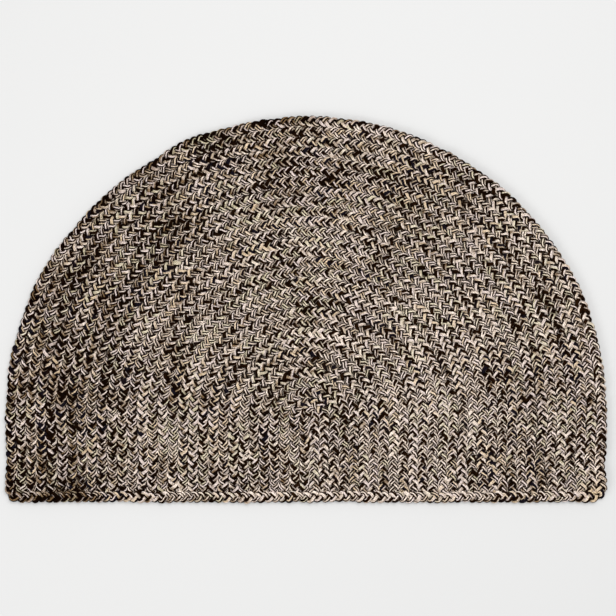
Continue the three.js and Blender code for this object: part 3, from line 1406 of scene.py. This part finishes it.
@dataclass
class InnerSheet:
    """The thin felted sheet of fibre and sewing inside the mat, between the upper and lower strands; it
    blocks the light through the gaps, and is dark as painted shade where it shows through them.
    """

    outline: Outline
    material: bpy.types.Material
    inset: float = 4.0 * MM  # from the outline
    low: float = 3.8 * MM  # the height of its underside
    high: float = 4.8 * MM  # the height of its top
    rings: int = 5  # of faces from the middle to the rim
    point_step: int = 6  # its rim has every sixth point of the outline

    def build(self) -> bpy.types.Object:
        """Builds the sheet as a closed slab that follows the outline.

        Returns:
            The piece.
        """
        rim = self.outline.loop(self.inset)[:: self.point_step]
        centre = np.array([self.outline.spine_x, self.outline.arc_y])
        count = len(rim)
        plan = [centre + (rim - centre) * (ring / self.rings) for ring in range(1, self.rings + 1)]
        flat = np.vstack([*plan, centre])
        layers = [np.column_stack([flat, np.full(len(flat), height)]) for height in (self.high, self.low)]
        size = len(flat)
        middle = size - 1
        faces = []
        for i in range(count):
            j = (i + 1) % count
            faces.append((middle, i, j))
            faces.append((size + middle, size + j, size + i))
            for ring in range(self.rings - 1):
                a, b = ring * count + i, ring * count + j
                c, d = a + count, b + count
                faces.append((a, c, d, b))
                faces.append((size + a, size + b, size + d, size + c))
            a, b = (self.rings - 1) * count + i, (self.rings - 1) * count + j
            faces.append((a, size + a, size + b, b))
        mesh = bpy.data.meshes.new("inner_shade_sheet")
        mesh.from_pydata(np.vstack(layers).tolist(), [], faces)
        mesh.update()
        mesh.materials.append(self.material)
        piece = placed("inner_shade_sheet", mesh)
        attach(piece, BODY)
        return piece

    def area(self) -> float:
        """The sheet's flat area.

        Returns:
            The area, in square metres.
        """
        rim = self.outline.loop(self.inset)
        x, y = rim[:, 0], rim[:, 1]
        return float(abs(np.dot(x, np.roll(y, -1)) - np.dot(y, np.roll(x, -1))) / 2)


@dataclass(frozen=True)
class SoftLight:
    """One broad soft light, which shines on the middle of the mat."""

    name: str
    place: tuple[float, float, float]
    size: float
    power: float  # in watts


@dataclass
class Studio:
    """The pale floor, the soft light and the camera straight above."""

    view_width: float = 716.3 * MM  # what the picture's width spans on the mat
    view_centre: tuple[float, float] = (2.3 * MM, 1.75 * MM)
    lens_mm: float = 90.0
    sensor_mm: float = 36.0
    sight_height: float = 8.0 * MM  # where the view width is measured
    farthest: float = 50.0  # that the camera sees
    floor_half: float = 6.0  # half of the floor's side
    floor_colour: Colour = (0.536, 0.536, 0.533, 1.0)
    floor_roughness: float = 0.9
    floor_specular: float = 0.1
    soft_lights: tuple[SoftLight, ...] = (
        SoftLight("soft_top", (0.3, 0.5, 2.4), 1.6, 62.5),
        SoftLight("soft_front_left", (-1.6, -1.2, 1.8), 1.2, 24.6),
    )
    surround: float = 0.537  # the strength of the light from all round

    def build(self) -> None:
        """Makes the camera, the floor and the lights."""
        self.camera()
        self.floor()
        for light in self.soft_lights:
            self.light(light)
        self.world()
        settings = bpy.context.scene.view_settings
        settings.view_transform = "Standard"
        settings.look = "None"

    def camera(self) -> None:
        """Looks straight down, with the straight edge at the foot of the picture."""
        data = bpy.data.cameras.new("camera")
        data.lens = self.lens_mm
        data.sensor_width = self.sensor_mm
        data.clip_end = self.farthest
        camera = placed("camera", data)
        distance = self.view_width * self.lens_mm / self.sensor_mm
        camera.location = (*self.view_centre, self.sight_height + distance)
        bpy.context.scene.camera = camera

    def floor(self) -> None:
        """A plain pale floor."""
        half = self.floor_half
        corners = [(-half, -half, 0), (half, -half, 0), (half, half, 0), (-half, half, 0)]
        mesh = bpy.data.meshes.new("floor")
        mesh.from_pydata(corners, [], [(0, 1, 2, 3)])
        material, nodes, shader = new_material("floor")
        dressing = {
            "Base Color": self.floor_colour,
            "Roughness": self.floor_roughness,
            "Specular IOR Level": self.floor_specular,
        }
        nodes.feed(shader, dressing)
        mesh.materials.append(material)
        floor = placed("floor", mesh)
        floor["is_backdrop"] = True

    def light(self, soft: SoftLight) -> None:
        """Hangs one light, turned towards the mat.

        Args:
            soft: The light.
        """
        data = bpy.data.lights.new(soft.name, "AREA")
        data.size = soft.size
        data.energy = soft.power
        light = placed(soft.name, data)
        light.location = soft.place
        light.rotation_euler = (-Vector(soft.place)).to_track_quat("-Z", "Y").to_euler()

    def world(self) -> None:
        """A pale surround."""
        world = bpy.data.worlds.new("surround")
        world.use_nodes = True
        background = world.node_tree.nodes["Background"]
        background.inputs["Color"].default_value = (1.0, 1.0, 1.0, 1.0)
        background.inputs["Strength"].default_value = self.surround
        bpy.context.scene.world = world


def triangles(piece: bpy.types.Object) -> int:
    """How many triangles a piece's faces come to."""
    return sum(len(face.vertices) - 2 for face in piece.data.polygons)


def main() -> None:
    """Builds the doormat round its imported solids."""
    logging.basicConfig(level=logging.INFO, format="%(message)s")
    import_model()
    Studio().build()
    outline = Outline()
    groups = YarnGroups()
    mix = ToneMix()
    hand = Handiwork()
    row_braider = Braider(BraidForm(), mix, hand)
    rows = BraidedField(outline, row_braider, JuteFinish("field_jute_yarn").material(groups)).build()
    LOG.info("field: %d rows, %d triangles", len(rows), sum(map(triangles, rows)))
    edge_braider = Braider(EDGE_FORM, mix, hand)
    edge = EdgeBraid(outline, edge_braider, JuteFinish("edge_jute_yarn").material(groups)).build()
    LOG.info("%s: %d triangles", edge.name, triangles(edge))
    inner = InnerSheet(outline, InnerShadeFinish().material())
    sheet = inner.build()
    inner.area()
    LOG.info("%s: %.4f square metres, %d triangles", sheet.name, inner.area(), triangles(sheet))


if __name__ == "__main__":
    main()
